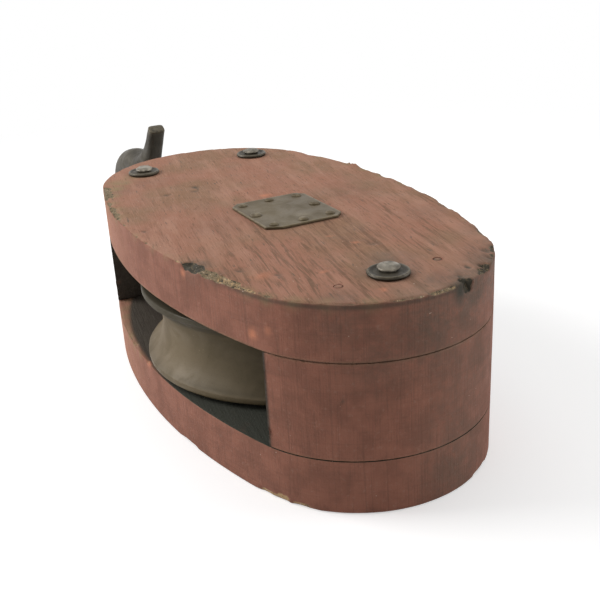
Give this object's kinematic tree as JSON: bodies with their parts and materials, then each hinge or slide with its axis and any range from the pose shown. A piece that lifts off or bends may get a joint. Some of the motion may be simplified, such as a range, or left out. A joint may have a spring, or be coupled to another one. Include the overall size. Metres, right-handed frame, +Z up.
{
  "type": "tackle block",
  "caption": "Oval wooden tackle block with a wide bronze sheave on a pin, an internal iron strap, clenched rivets and a swivel hook at the crown.",
  "frame": {"origin": "where the pin axis meets the flat underside of the lower cheek", "axes": "+Z up along the sheave pin, +X toward the heel, the hook points along -X"},
  "size_m": [0.2996, 0.109, 0.0766],
  "materials": {
    "painted_wood": "worn brick-red paint over wood",
    "iron": "aged dark, dull",
    "fastening": "dark with rubbed high spots",
    "plate": "aged, dull olive brown",
    "sheave": "aged, satin",
    "bush": "satin",
    "pin": "worn smooth"
  },
  "bodies": {
    "shell": {"upper_cheek": "painted_wood", "lower_cheek": "painted_wood", "crown_filler": "painted_wood", "heel_filler": "painted_wood", "strap": "iron", "sheave_pin": "pin", "hook_washer": "iron", "crown_rivet_left": "fastening", "crown_rivet_right": "fastening", "heel_rivet": "fastening", "crown_rove_left": "fastening", "crown_rove_right": "fastening", "heel_rove": "fastening", "upper_pin_plate": "plate", "upper_plate_nails": "plate", "lower_pin_plate": "plate", "lower_plate_nails": "plate", "heel_nails": "fastening"},
    "sheave": {"sheave": "sheave", "sheave_bush": "bush"},
    "hook": {"swivel_hook": "iron"}
  },
  "joints": [
    {"name": "sheave_spin", "type": "hinge", "parent": "shell", "child": "sheave", "pos_m": [0, 0, 0.0339], "axis": [0, 0, 1], "continuous": true},
    {"name": "hook_swivel", "type": "hinge", "parent": "shell", "child": "hook", "pos_m": [-0.1166, 0, 0.0345], "axis": [1, 0, 0], "continuous": true}
  ]
}
